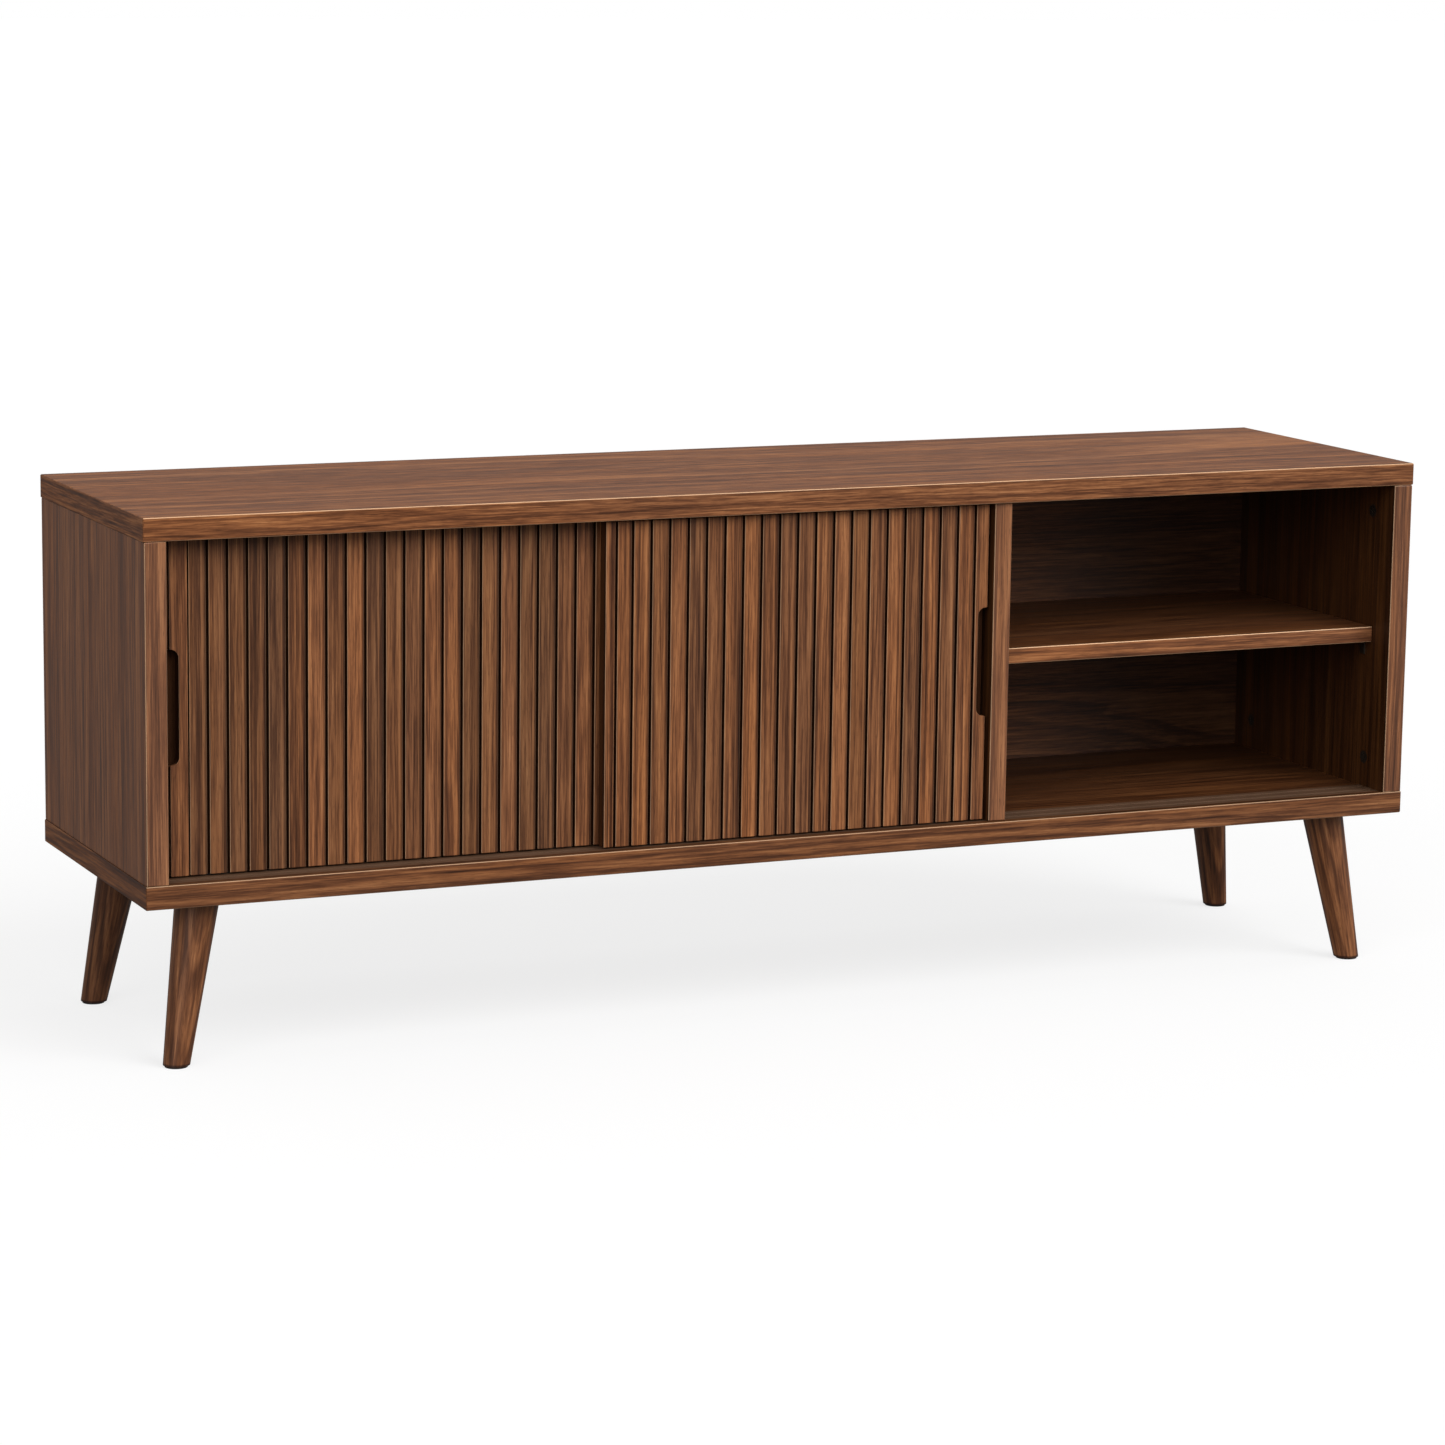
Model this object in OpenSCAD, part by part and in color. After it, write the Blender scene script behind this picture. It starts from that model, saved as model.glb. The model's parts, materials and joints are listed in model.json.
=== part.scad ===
// Media cabinet: a low case on four splayed legs, with two slatted sliding doors on the left
// and an open bay with a shelf on the right. Millimetres. The origin is on the floor, at the
// middle of the footprint, +X to the right, +Y to the back, +Z up.

/* [Case] */
// Width over the top and bottom panels
case_w = 1500; // [1400:10:1600]
// Depth over the top and bottom panels
case_d = 380; // [370:5:420]
// Height between the bottom and the top panel
opening_h = 355; // [335:5:400]
// Thickness of the top and bottom panels
board_t = 25; // [22:1:30]
// Thickness of the two sides
side_t = 23.5; // [20:0.5:26]
// How far each side stands in from the ends of the panels
side_inset = 1; // [0:0.5:3]
// Thickness of the divider beside the open bay
divider_t = 21; // [18:1:24]
// Clear width of the open bay on the right
bay_w = 486.5; // [460:0.5:520]
// Thickness of the partition behind the doors
partition_t = 18; // [16:1:21]
// Thickness of the shelves
shelf_t = 18; // [16:1:21]
// Height of the shelves' undersides above the bottom panel
shelf_z = 170; // [140:5:200]
// Thickness of the back panel
back_t = 6; // [4:1:8]
// Distance from the front of the case to the back panel
back_y = 338; // [320:1:345]

/* [Doors] */
// Distance from the front of the case to the front door's face
door_y = 12; // [11:0.5:14]
// Step back from the front door's face to the rear door's face
door_step = 18.5; // [17:0.5:20]
// Thickness of the slats
slat_t = 6; // [5:0.5:7]
// Thickness of the board behind the slats
door_board_t = 9; // [8:0.5:9]
// Distance from one slat to the next
slat_pitch = 21.4; // [20:0.1:23]
// Gap between two slats
slat_gap = 3; // [2:0.5:4]
// Gap above and below each door
door_gap_z = 2; // [1.5:0.5:2.5]
// Width of the right door, which runs in front
right_door_w = 454; // [440:1:460]
// How far the left door reaches behind the right door
door_overlap = 15; // [10:1:30]
// Height of the finger notches
notch_h = 121; // [100:1:140]
// Height of the notches' middles above the bottom panel
notch_z = 178.5; // [160:0.5:190]
// Radius of the notches' corners
notch_r = 9; // [6:0.5:10]
// Depth of the notches from the door's face
notch_depth = 12; // [9:0.5:13]

/* [Tracks] */
// Distance from the front of the case to the tracks
track_y = 10; // [9:0.5:11]
// Depth of the tracks, front to back
track_w = 42; // [40:1:46]
// Thickness of the tracks
track_t = 9; // [8:0.5:10]
// Width of the grooves in the tracks
groove_w = 6; // [5.5:0.25:7]
// Depth of the grooves in the tracks
groove_h = 6; // [5:0.5:6]

/* [Legs] */
// Height of the legs, floor to case
leg_h = 176; // [150:1:200]
// Diameter of a leg at the case
leg_top_d = 47; // [40:1:52]
// Diameter of a leg at the floor
leg_foot_d = 28; // [26:1:32]
// Distance from the ends of the case to a leg's middle at its top
leg_x = 72; // [70:1:90]
// Distance from the front or back of the case to a leg's middle at its top
leg_y = 56; // [54:1:70]
// How far a leg's foot splays to the side
splay_x = 30; // [20:1:34]
// How far a leg's foot splays to the front or back
splay_y = 18; // [10:1:22]

/* [Hidden] */
$fn = 48;
eps = 0.5;

// Heights and widths of the case, measured from its lower front left corner.
ceiling_z = board_t + opening_h;
left_x = side_inset + side_t;
right_x = case_w - left_x;
inner_w = right_x - left_x;
divider_x = right_x - bay_w - divider_t;
divider_setback = 5;
partition_x = (left_x + divider_x - partition_t) / 2;
partition_y = 58;
shelf_bottom = board_t + shelf_z;

// The back panel sits in grooves, with play at the bottom of each groove.
back_groove = 8;
back_play = 1;

// Shelves: end play, front edges and the places of their pins.
shelf_play = 0.5;
open_shelf_y = 35;
hidden_shelf_y = 90;
shelf_back_play = 1;
pin_inset = 20;
pin_d = 5;
pin_depth = 9;
pin_plate = [1.5, 9, 16];
pin_tab = [10, 9, 2];

// Knock-down fittings in the ends of the uprights.
cam_d = 15;
cam_t = 12.5;
cam_reach = 34;
cam_slot = [9, 1.6, 1.8];
bolt_hole_d = 8;
bolt_thread_d = 6;
bolt_thread_h = 11;
bolt_stem_d = 5;
bolt_head_d = 6.6;
bolt_head_h = 4;
bolt_channel_d = 7;
dowel_d = 8;
dowel_l = 30;
dowel_in_panel = 10;
rear_fitting_y = 300;

// Back panel screws and cable holes.
screw_shank_d = 3;
screw_head_d = 7;
screw_head_h = 2;
back_screw_l = 20;
back_screw_edge = 45;
cable_hole_d = 56;
cable_hole_z = board_t + 70;
grommet_bore_d = 50;
grommet_flange_d = 66;
grommet_flange_t = 2.5;

// Doors. Each door is described by its left end and its width.
stop_gap = 1.5;
divider_gap = 3.5;
left_door_x = left_x + stop_gap;
right_door_x = divider_x - divider_gap - right_door_w;
left_door_w = right_door_x + door_overlap - left_door_x;
door_z = board_t + door_gap_z;
door_h = opening_h - 2 * door_gap_z;
rear_door_y = door_y + door_step;
right_stile_w = 15.1;
left_stile_w = 29.3;
left_stile_gap = 1.6;
left_groove_x = 7.25;
left_groove_t = 5;
right_end_slat_w = 10.6;
left_notch_w = 19.8;
right_notch_w = 11;
pad_d = 7;
pad_play = 0.1;
pad_inset = 35;

// Glides under the doors and guide pins above them, in the middle of the door boards.
runner_y = slat_t + door_board_t / 2;
runner_w = 5;
runner_l = 40;
runner_up = 12;
runner_play = 0.05;
runner_end = 60;
guide_d = 5;
guide_in = 14;
guide_reach = groove_h + door_gap_z - 0.5;

// Legs and what fastens them.
plate_size = 62;
plate_t = 3;
plate_corner_r = 6;
plate_hole_at = 25;
plate_boss_d = 14;
plate_boss_h = 9;
boss_pocket_d = 22;
boss_pocket_h = 12;
hanger_d = 8;
hanger_up = 9;
hanger_down = 42;
plate_screw_d = 4;
plate_screw_l = 17;
plate_screw_head_d = 6;
plate_screw_head_h = 2.2;
foot_d = 24;
foot_t = 2;
foot_pin_d = 3;
foot_pin_h = 12;

walnut = "#7a5038";
walnut_dark = "#5f4233";
zinc = "silver";
black_plastic = "#26211f";

// Left ends of the uprights with their thicknesses, and the front fittings' places on each.
// The side of the cam holes is +1 where they open to the right and -1 where they open left.
UPRIGHTS = [
    [side_inset, side_t, 45, 1],
    [partition_x, partition_t, 85, -1],
    [divider_x, divider_t, 75, -1],
    [right_x, side_t, 45, -1],
];
LEFT = UPRIGHTS[0];
PARTITION = UPRIGHTS[1];
DIVIDER = UPRIGHTS[2];
RIGHT = UPRIGHTS[3];

// Each shelf: left wall, right wall and front edge.
SHELVES = [
    [left_x, partition_x, hidden_shelf_y],
    [partition_x + partition_t, divider_x, hidden_shelf_y],
    [divider_x + divider_t, right_x, open_shelf_y],
];

CABLE_HOLES = [
    (left_x + partition_x) / 2,
    (partition_x + partition_t + divider_x) / 2,
];

// Legs: the side and the end that each belongs to.
FRONT_LEFT = [0, 0];
FRONT_RIGHT = [1, 0];
BACK_LEFT = [0, 1];
BACK_RIGHT = [1, 1];
CORNERS = [FRONT_LEFT, FRONT_RIGHT, BACK_LEFT, BACK_RIGHT];

// Moves from the case's lower front left corner to the row's origin on the floor.
module in_case() {
    translate([-case_w / 2, -case_d / 2, leg_h]) children();
}

// Rod along X, from x0 to x1.
module x_rod(x0, x1, y, z, d) {
    translate([x0, y, z]) rotate([0, 90, 0]) cylinder(d = d, h = x1 - x0);
}

// Rod along Y, from y0 to y1.
module y_rod(y0, y1, x, z, d) {
    translate([x, y0, z]) rotate([-90, 0, 0]) cylinder(d = d, h = y1 - y0);
}

// Rod along Z, from z0 to z1.
module z_rod(z0, z1, x, y, d) {
    translate([x, y, z0]) cylinder(d = d, h = z1 - z0);
}

// ---- Knock-down fittings -------------------------------------------------------------------

// Draws its children, which stand on a panel's face at z = 0 and reach up into an upright,
// at the bottom panel's top face and, turned over, at the top panel's underside.
module at_both_ends() {
    translate([0, 0, board_t]) children();
    translate([0, 0, ceiling_z]) mirror([0, 0, 1]) children();
}

function mid_x(upright) = upright[0] + upright[1] / 2;
function fitting_ys(upright) = [upright[2], rear_fitting_y];
function dowel_ys(upright) = [upright[2] + 45, rear_fitting_y - 45];

// x of the face where a cam hole opens.
function cam_face(upright) = upright[3] > 0 ? upright[0] + upright[1] : upright[0];

// One cam housing's volume, reaching into the upright from the face where it opens.
module cam_volume(upright, y, past) {
    face = cam_face(upright);
    inner = face - upright[3] * cam_t;
    x_rod(min(face + upright[3] * past, inner), max(face + upright[3] * past, inner),
          y, cam_reach, cam_d);
}

// Holes for cams, bolts and dowels in one end of an upright.
module upright_end_holes(upright) {
    for (y = fitting_ys(upright)) {
        cam_volume(upright, y, eps);
        z_rod(-eps, cam_reach + bolt_head_h / 2, mid_x(upright), y, bolt_hole_d);
    }
    for (y = dowel_ys(upright))
        z_rod(-eps, dowel_l - dowel_in_panel, mid_x(upright), y, dowel_d);
}

// Holes for bolts and dowels in a panel, whose face is at z = 0 and whose body is below it.
module panel_fitting_holes() {
    for (upright = UPRIGHTS) {
        for (y = fitting_ys(upright))
            z_rod(-bolt_thread_h, eps, mid_x(upright), y, bolt_thread_d);
        for (y = dowel_ys(upright))
            z_rod(-dowel_in_panel, eps, mid_x(upright), y, dowel_d);
    }
}

module cam_lock(upright, y) {
    face = cam_face(upright);
    difference() {
        cam_volume(upright, y, 0);
        z_rod(-eps, cam_reach + bolt_head_d / 2, mid_x(upright), y, bolt_channel_d);
        for (turn = [0, 90])
            translate([face, y, cam_reach])
                rotate([turn, 0, 0])
                    cube([2 * cam_slot[2], cam_slot[0], cam_slot[1]], center = true);
    }
}

module cam_bolt(upright, y) {
    x = mid_x(upright);
    z_rod(-bolt_thread_h, 0, x, y, bolt_thread_d);
    z_rod(0, cam_reach - bolt_head_h / 2, x, y, bolt_stem_d);
    z_rod(cam_reach - bolt_head_h / 2, cam_reach + bolt_head_h / 2 - 1, x, y, bolt_head_d);
}

module cam_locks() {
    color(zinc) in_case() at_both_ends()
        for (upright = UPRIGHTS, y = fitting_ys(upright))
            cam_lock(upright, y);
}

module cam_bolts() {
    color(zinc) in_case() at_both_ends()
        for (upright = UPRIGHTS, y = fitting_ys(upright))
            cam_bolt(upright, y);
}

module dowels() {
    color("burlywood") in_case() at_both_ends()
        for (upright = UPRIGHTS, y = dowel_ys(upright))
            z_rod(-dowel_in_panel, dowel_l - dowel_in_panel, mid_x(upright), y, dowel_d);
}

// ---- Shelves and their supports ------------------------------------------------------------

function pin_ys(shelf) = [shelf[2] + pin_inset, back_y - shelf_back_play - pin_inset];
pin_z = shelf_bottom - pin_tab[2] - (pin_plate[2] - pin_tab[2]) / 2;

// One support against a wall at x, reaching out along dir (+1 to the right, -1 to the left).
module shelf_pin(x, dir, y) {
    translate([x, y, 0]) scale([dir, 1, 1]) {
        translate([0, -pin_plate[1] / 2, shelf_bottom - pin_plate[2]]) cube(pin_plate);
        translate([0, -pin_tab[1] / 2, shelf_bottom - pin_tab[2]]) cube(pin_tab);
        x_rod(-pin_depth, pin_plate[0], 0, pin_z, pin_d);
    }
}

// Holes for a shelf's supports in the wall at x, drilled against dir.
module pin_holes(x, dir, shelf) {
    for (y = pin_ys(shelf))
        translate([x, y, 0]) scale([dir, 1, 1]) x_rod(-pin_depth, eps, 0, pin_z, pin_d);
}

module shelf_pins() {
    color(zinc) in_case()
        for (shelf = SHELVES, y = pin_ys(shelf)) {
            shelf_pin(shelf[0], 1, y);
            shelf_pin(shelf[1], -1, y);
        }
}

module shelf(spec) {
    translate([spec[0] + shelf_play, spec[2], shelf_bottom])
        cube([
            spec[1] - spec[0] - 2 * shelf_play,
            back_y - shelf_back_play - spec[2],
            shelf_t,
        ]);
}

module left_shelf() {
    color(walnut) in_case() shelf(SHELVES[0]);
}

module middle_shelf() {
    color(walnut) in_case() shelf(SHELVES[1]);
}

module right_shelf() {
    color(walnut) in_case() shelf(SHELVES[2]);
}

// ---- Case panels ---------------------------------------------------------------------------

// Groove that holds the back panel, over the whole inside of the case.
module back_groove_volume() {
    translate([left_x - back_groove, back_y, board_t - back_groove])
        cube([inner_w + 2 * back_groove, back_t, opening_h + 2 * back_groove]);
}

// Outer block of a track, with its top face at z = 0.
module track_block() {
    translate([left_x, track_y, -track_t]) cube([inner_w, track_w, track_t]);
}

module top_panel() {
    color(walnut) in_case() difference() {
        translate([0, 0, ceiling_z]) cube([case_w, case_d, board_t]);
        translate([0, 0, ceiling_z]) mirror([0, 0, 1]) panel_fitting_holes();
        translate([0, 0, ceiling_z]) mirror([0, 0, 1]) track_block();
        back_groove_volume();
    }
}

module bottom_panel() {
    color(walnut) in_case() difference() {
        cube([case_w, case_d, board_t]);
        translate([0, 0, board_t]) panel_fitting_holes();
        translate([0, 0, board_t]) track_block();
        back_groove_volume();
        for (corner = CORNERS) at_corner(corner) leg_panel_holes();
    }
}

module left_side() {
    color(walnut_dark) in_case() difference() {
        translate([LEFT[0], 0, board_t]) cube([LEFT[1], case_d, opening_h]);
        at_both_ends() upright_end_holes(LEFT);
        pin_holes(left_x, 1, SHELVES[0]);
        back_groove_volume();
    }
}

module right_side() {
    color(walnut_dark) in_case() difference() {
        translate([RIGHT[0], 0, board_t]) cube([RIGHT[1], case_d, opening_h]);
        at_both_ends() upright_end_holes(RIGHT);
        pin_holes(right_x, -1, SHELVES[2]);
        back_groove_volume();
    }
}

// Holes of the screws that come through the back panel into an upright's rear edge.
module back_screw_holes(upright) {
    for (z = back_screw_zs())
        y_rod(back_y - eps, back_y + back_t + eps, mid_x(upright), z, screw_shank_d);
    for (z = back_screw_zs())
        y_rod(back_y + back_t - back_screw_l, back_y, mid_x(upright), z, screw_shank_d);
}

function back_screw_zs() = [
    board_t + back_screw_edge,
    board_t + opening_h / 2,
    ceiling_z - back_screw_edge,
];

module partition() {
    color(walnut) in_case() difference() {
        translate([PARTITION[0], partition_y, board_t])
            cube([PARTITION[1], back_y - partition_y, opening_h]);
        at_both_ends() upright_end_holes(PARTITION);
        pin_holes(PARTITION[0], -1, SHELVES[0]);
        pin_holes(PARTITION[0] + PARTITION[1], 1, SHELVES[1]);
        back_screw_holes(PARTITION);
    }
}

module divider() {
    color(walnut) in_case() difference() {
        translate([DIVIDER[0], divider_setback, board_t])
            cube([DIVIDER[1], back_y - divider_setback, opening_h]);
        at_both_ends() upright_end_holes(DIVIDER);
        pin_holes(DIVIDER[0], -1, SHELVES[1]);
        pin_holes(DIVIDER[0] + DIVIDER[1], 1, SHELVES[2]);
        back_screw_holes(DIVIDER);
    }
}

module back_panel() {
    reach = back_groove - back_play;
    color(walnut_dark) in_case() difference() {
        translate([left_x - reach, back_y, board_t - reach])
            cube([inner_w + 2 * reach, back_t, opening_h + 2 * reach]);
        for (x = CABLE_HOLES)
            y_rod(back_y - eps, back_y + back_t + eps, x, cable_hole_z, cable_hole_d);
        back_screw_holes(PARTITION);
        back_screw_holes(DIVIDER);
    }
}

module back_screws() {
    color(zinc) in_case()
        for (upright = [PARTITION, DIVIDER], z = back_screw_zs()) {
            outside = back_y + back_t;
            y_rod(outside - back_screw_l, outside, mid_x(upright), z, screw_shank_d);
            y_rod(outside, outside + screw_head_h, mid_x(upright), z, screw_head_d);
        }
}

module cable_grommets() {
    outside = back_y + back_t;
    color(black_plastic) in_case()
        for (x = CABLE_HOLES)
            difference() {
                union() {
                    y_rod(back_y, outside, x, cable_hole_z, cable_hole_d);
                    y_rod(outside, outside + grommet_flange_t, x, cable_hole_z, grommet_flange_d);
                }
                y_rod(back_y - eps, outside + grommet_flange_t + eps, x, cable_hole_z,
                      grommet_bore_d);
            }
}

// ---- Tracks --------------------------------------------------------------------------------

// Distance from the front of the case to the middle of each groove.
RUNNERS = [door_y + runner_y, rear_door_y + runner_y];

module track() {
    difference() {
        track_block();
        for (y = RUNNERS)
            translate([left_x - eps, y - groove_w / 2, -groove_h])
                cube([inner_w + 2 * eps, groove_w, groove_h + eps]);
    }
}

module bottom_track() {
    color(black_plastic) in_case() translate([0, 0, board_t]) track();
}

module top_track() {
    color(black_plastic) in_case() translate([0, 0, ceiling_z]) mirror([0, 0, 1]) track();
}

// Soft pads that stop the doors at the left side and at the divider.
module door_bumpers() {
    color(black_plastic) in_case()
        for (y = RUNNERS, z = [board_t + pad_inset, ceiling_z - pad_inset]) {
            x_rod(left_x, left_x + stop_gap - pad_play, y, z, pad_d);
            x_rod(divider_x - divider_gap + pad_play, divider_x, y, z, pad_d);
        }
}

// ---- Doors ---------------------------------------------------------------------------------

// Places its children in a door's own frame: x from its left end, y from its face, z from its
// lower edge.
module in_left_door() {
    in_case() translate([left_door_x, rear_door_y, door_z]) children();
}

module in_right_door() {
    in_case() translate([right_door_x, door_y, door_z]) children();
}

// Finger notch sunk into the door's face, from x0 to x1, with round corners.
module notch_volume(x0, x1) {
    z0 = board_t + notch_z - notch_h / 2 - door_z;
    t = notch_depth + eps;
    translate([x0, -eps, z0]) {
        translate([notch_r, 0, 0]) cube([x1 - x0 - 2 * notch_r, t, notch_h]);
        translate([0, 0, notch_r]) cube([x1 - x0, t, notch_h - 2 * notch_r]);
        for (x = [notch_r, x1 - x0 - notch_r], z = [notch_r, notch_h - notch_r])
            y_rod(0, t, x, z, 2 * notch_r);
    }
}

module left_notch() {
    notch_volume(-2 * notch_r, left_notch_w);
}

module right_notch() {
    notch_volume(right_door_w - right_notch_w, right_door_w + 2 * notch_r);
}

// Runner places along a door of width w.
function runner_xs(w) = [runner_end, w - runner_end];

// The tongue's outline from above: a bar with round ends.
module runner_bar(x, z0, z1) {
    half = runner_l / 2 - runner_w / 2;
    translate([x - half, runner_y - runner_w / 2, z0]) cube([2 * half, runner_w, z1 - z0]);
    for (end = [-half, half]) z_rod(z0, z1, x + end, runner_y, runner_w);
}

module door_board(w) {
    difference() {
        translate([0, slat_t, 0]) cube([w, door_board_t, door_h]);
        for (x = runner_xs(w)) {
            runner_bar(x, -eps, runner_up);
            z_rod(door_h - guide_in, door_h + eps, x, runner_y, guide_d);
        }
        children();
    }
}

module door_glides(w) {
    for (x = runner_xs(w)) runner_bar(x, runner_play - door_gap_z - groove_h, runner_up);
}

module door_guides(w) {
    for (x = runner_xs(w)) z_rod(door_h - guide_in, door_h + guide_reach, x, runner_y, guide_d);
}

module slat(x0, x1) {
    translate([x0, 0, 0]) cube([x1 - x0, slat_t, door_h]);
}

// Right door: from the stile leftward, slats at one pitch, then a cut slat and an end strip.
right_first_gap = right_door_w - right_stile_w - slat_gap;
right_slats = floor((right_first_gap - right_end_slat_w - slat_gap) / slat_pitch);
right_last_x = right_first_gap - right_slats * slat_pitch + slat_gap;

module right_door_slats() {
    color(walnut) in_right_door() {
        for (i = [0:right_slats - 1])
            slat(right_first_gap - (i + 1) * slat_pitch + slat_gap,
                 right_first_gap - i * slat_pitch);
        slat(right_end_slat_w + slat_gap, right_last_x - slat_gap);
        slat(0, right_end_slat_w);
    }
}

module right_door_stile() {
    color(walnut) in_right_door() difference() {
        slat(right_door_w - right_stile_w, right_door_w);
        right_notch();
    }
}

module right_door_board() {
    color(walnut_dark) in_right_door() door_board(right_door_w) right_notch();
}

module right_door_glides() {
    color(black_plastic) in_right_door() door_glides(right_door_w);
}

module right_door_guides() {
    color(black_plastic) in_right_door() door_guides(right_door_w);
}

// Left door: from the stile rightward, slats at one pitch, the last one cut to the door's end.
left_first_x = left_stile_w + left_stile_gap;
left_slats = floor((left_door_w - left_first_x) / slat_pitch);
left_last_x = left_first_x + left_slats * slat_pitch;

module left_door_slats() {
    color(walnut) in_left_door() {
        for (i = [0:left_slats - 1])
            slat(left_first_x + i * slat_pitch, left_first_x + (i + 1) * slat_pitch - slat_gap);
        slat(left_last_x, left_door_w);
    }
}

module left_door_stile() {
    color(walnut) in_left_door() difference() {
        slat(0, left_stile_w);
        translate([left_groove_x, -eps, -eps])
            cube([slat_gap, left_groove_t + eps, door_h + 2 * eps]);
        left_notch();
    }
}

module left_door_board() {
    color(walnut_dark) in_left_door() door_board(left_door_w) left_notch();
}

module left_door_glides() {
    color(black_plastic) in_left_door() door_glides(left_door_w);
}

module left_door_guides() {
    color(black_plastic) in_left_door() door_guides(left_door_w);
}

// ---- Legs ----------------------------------------------------------------------------------

leg_dir = [-splay_x, -splay_y, -leg_h];
leg_len = norm(leg_dir);
leg_tilt = acos(leg_dir[2] / leg_len);
leg_turn = atan2(leg_dir[1], leg_dir[0]);
leg_seam = 50;
PLATE_HOLES = [for (x = [-1, 1], y = [-1, 1]) [x * plate_hole_at, y * plate_hole_at]];

// Draws its children, made for the front left corner of the case, at one of the four corners.
module at_corner(corner) {
    translate([corner[0] * case_w, corner[1] * case_d, 0])
        mirror([corner[0], 0, 0])
            mirror([0, corner[1], 0])
                children();
}

// Draws its children along a leg's axis: z = 0 at the case's underside, +Z towards the foot.
// The first turn keeps the seam of a round shape away from the ends of its level cuts.
module on_leg_axis() {
    translate([leg_x, leg_y, 0]) rotate([0, leg_tilt, leg_turn]) rotate(leg_seam) children();
}

// What the legs' fastenings need in the bottom panel.
module leg_panel_holes() {
    z_rod(-eps, boss_pocket_h, leg_x, leg_y, boss_pocket_d);
    translate([leg_x, leg_y, 0])
        for (at = PLATE_HOLES)
            z_rod(-eps, plate_screw_l - plate_t, at[0], at[1], plate_screw_d);
}

// Tapered leg, cut level at the plate and at the foot.
module leg() {
    spare = 10;
    grow = (leg_top_d - leg_foot_d) / leg_len * spare;
    difference() {
        on_leg_axis()
            translate([0, 0, -spare])
                cylinder(d1 = leg_top_d + grow, d2 = leg_foot_d - grow, h = leg_len + 2 * spare,
                         $fn = 96);
        translate([0, 0, -plate_t]) cube([2 * leg_x, 2 * leg_y, leg_top_d]);
        translate([0, 0, foot_t - leg_h - leg_top_d]) cube([2 * leg_x, 2 * leg_y, leg_top_d]);
        on_leg_axis() cylinder(d = hanger_d, h = hanger_down);
        foot_pin();
    }
}

foot_at = [leg_x, leg_y, 0] + leg_dir;

module foot_pin() {
    z_rod(foot_t - leg_h, foot_t + foot_pin_h - leg_h, foot_at[0], foot_at[1], foot_pin_d);
}

module leg_plate() {
    half = plate_size / 2;
    corner = half - plate_corner_r;
    difference() {
        union() {
            translate([leg_x, leg_y, -plate_t]) {
                translate([-half, -corner, 0]) cube([plate_size, 2 * corner, plate_t]);
                translate([-corner, -half, 0]) cube([2 * corner, plate_size, plate_t]);
                for (x = [-corner, corner], y = [-corner, corner])
                    z_rod(0, plate_t, x, y, 2 * plate_corner_r);
            }
            z_rod(-plate_t, plate_boss_h, leg_x, leg_y, plate_boss_d);
        }
        on_leg_axis() translate([0, 0, -leg_h]) cylinder(d = hanger_d, h = 2 * leg_h);
        translate([leg_x, leg_y, 0])
            for (at = PLATE_HOLES)
                z_rod(-plate_t - eps, eps, at[0], at[1], plate_screw_d);
    }
}

module plate_screw() {
    z_rod(-plate_t, plate_screw_l - plate_t, 0, 0, plate_screw_d);
    z_rod(-plate_t - plate_screw_head_h, -plate_t, 0, 0, plate_screw_head_d);
}

module foot_glide() {
    z_rod(-leg_h, foot_t - leg_h, foot_at[0], foot_at[1], foot_d);
    foot_pin();
}

module leg_front_left() {
    color(walnut_dark) in_case() at_corner(FRONT_LEFT) leg();
}

module leg_front_right() {
    color(walnut_dark) in_case() at_corner(FRONT_RIGHT) leg();
}

module leg_back_left() {
    color(walnut_dark) in_case() at_corner(BACK_LEFT) leg();
}

module leg_back_right() {
    color(walnut_dark) in_case() at_corner(BACK_RIGHT) leg();
}

module leg_plate_front_left() {
    color(zinc) in_case() at_corner(FRONT_LEFT) leg_plate();
}

module leg_plate_front_right() {
    color(zinc) in_case() at_corner(FRONT_RIGHT) leg_plate();
}

module leg_plate_back_left() {
    color(zinc) in_case() at_corner(BACK_LEFT) leg_plate();
}

module leg_plate_back_right() {
    color(zinc) in_case() at_corner(BACK_RIGHT) leg_plate();
}

module leg_bolts() {
    color(zinc) in_case()
        for (corner = CORNERS)
            at_corner(corner)
                on_leg_axis()
                    translate([0, 0, -hanger_up])
                        cylinder(d = hanger_d, h = hanger_up + hanger_down);
}

module plate_screws() {
    color(zinc) in_case()
        for (corner = CORNERS)
            at_corner(corner)
                translate([leg_x, leg_y, 0])
                    for (at = PLATE_HOLES)
                        translate([at[0], at[1], 0]) plate_screw();
}

module foot_glides() {
    color(black_plastic) in_case()
        for (corner = CORNERS) at_corner(corner) foot_glide();
}

top_panel();
bottom_panel();
left_side();
right_side();
divider();
partition();
back_panel();
left_shelf();
middle_shelf();
right_shelf();
shelf_pins();
cam_locks();
cam_bolts();
dowels();
back_screws();
cable_grommets();
bottom_track();
top_track();
door_bumpers();
left_door_board();
left_door_slats();
left_door_stile();
left_door_glides();
left_door_guides();
right_door_board();
right_door_slats();
right_door_stile();
right_door_glides();
right_door_guides();
leg_front_left();
leg_front_right();
leg_back_left();
leg_back_right();
leg_plate_front_left();
leg_plate_front_right();
leg_plate_back_left();
leg_plate_back_right();
leg_bolts();
plate_screws();
foot_glides();
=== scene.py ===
import json
import math

import bpy
from mathutils import Matrix, Vector


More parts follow.
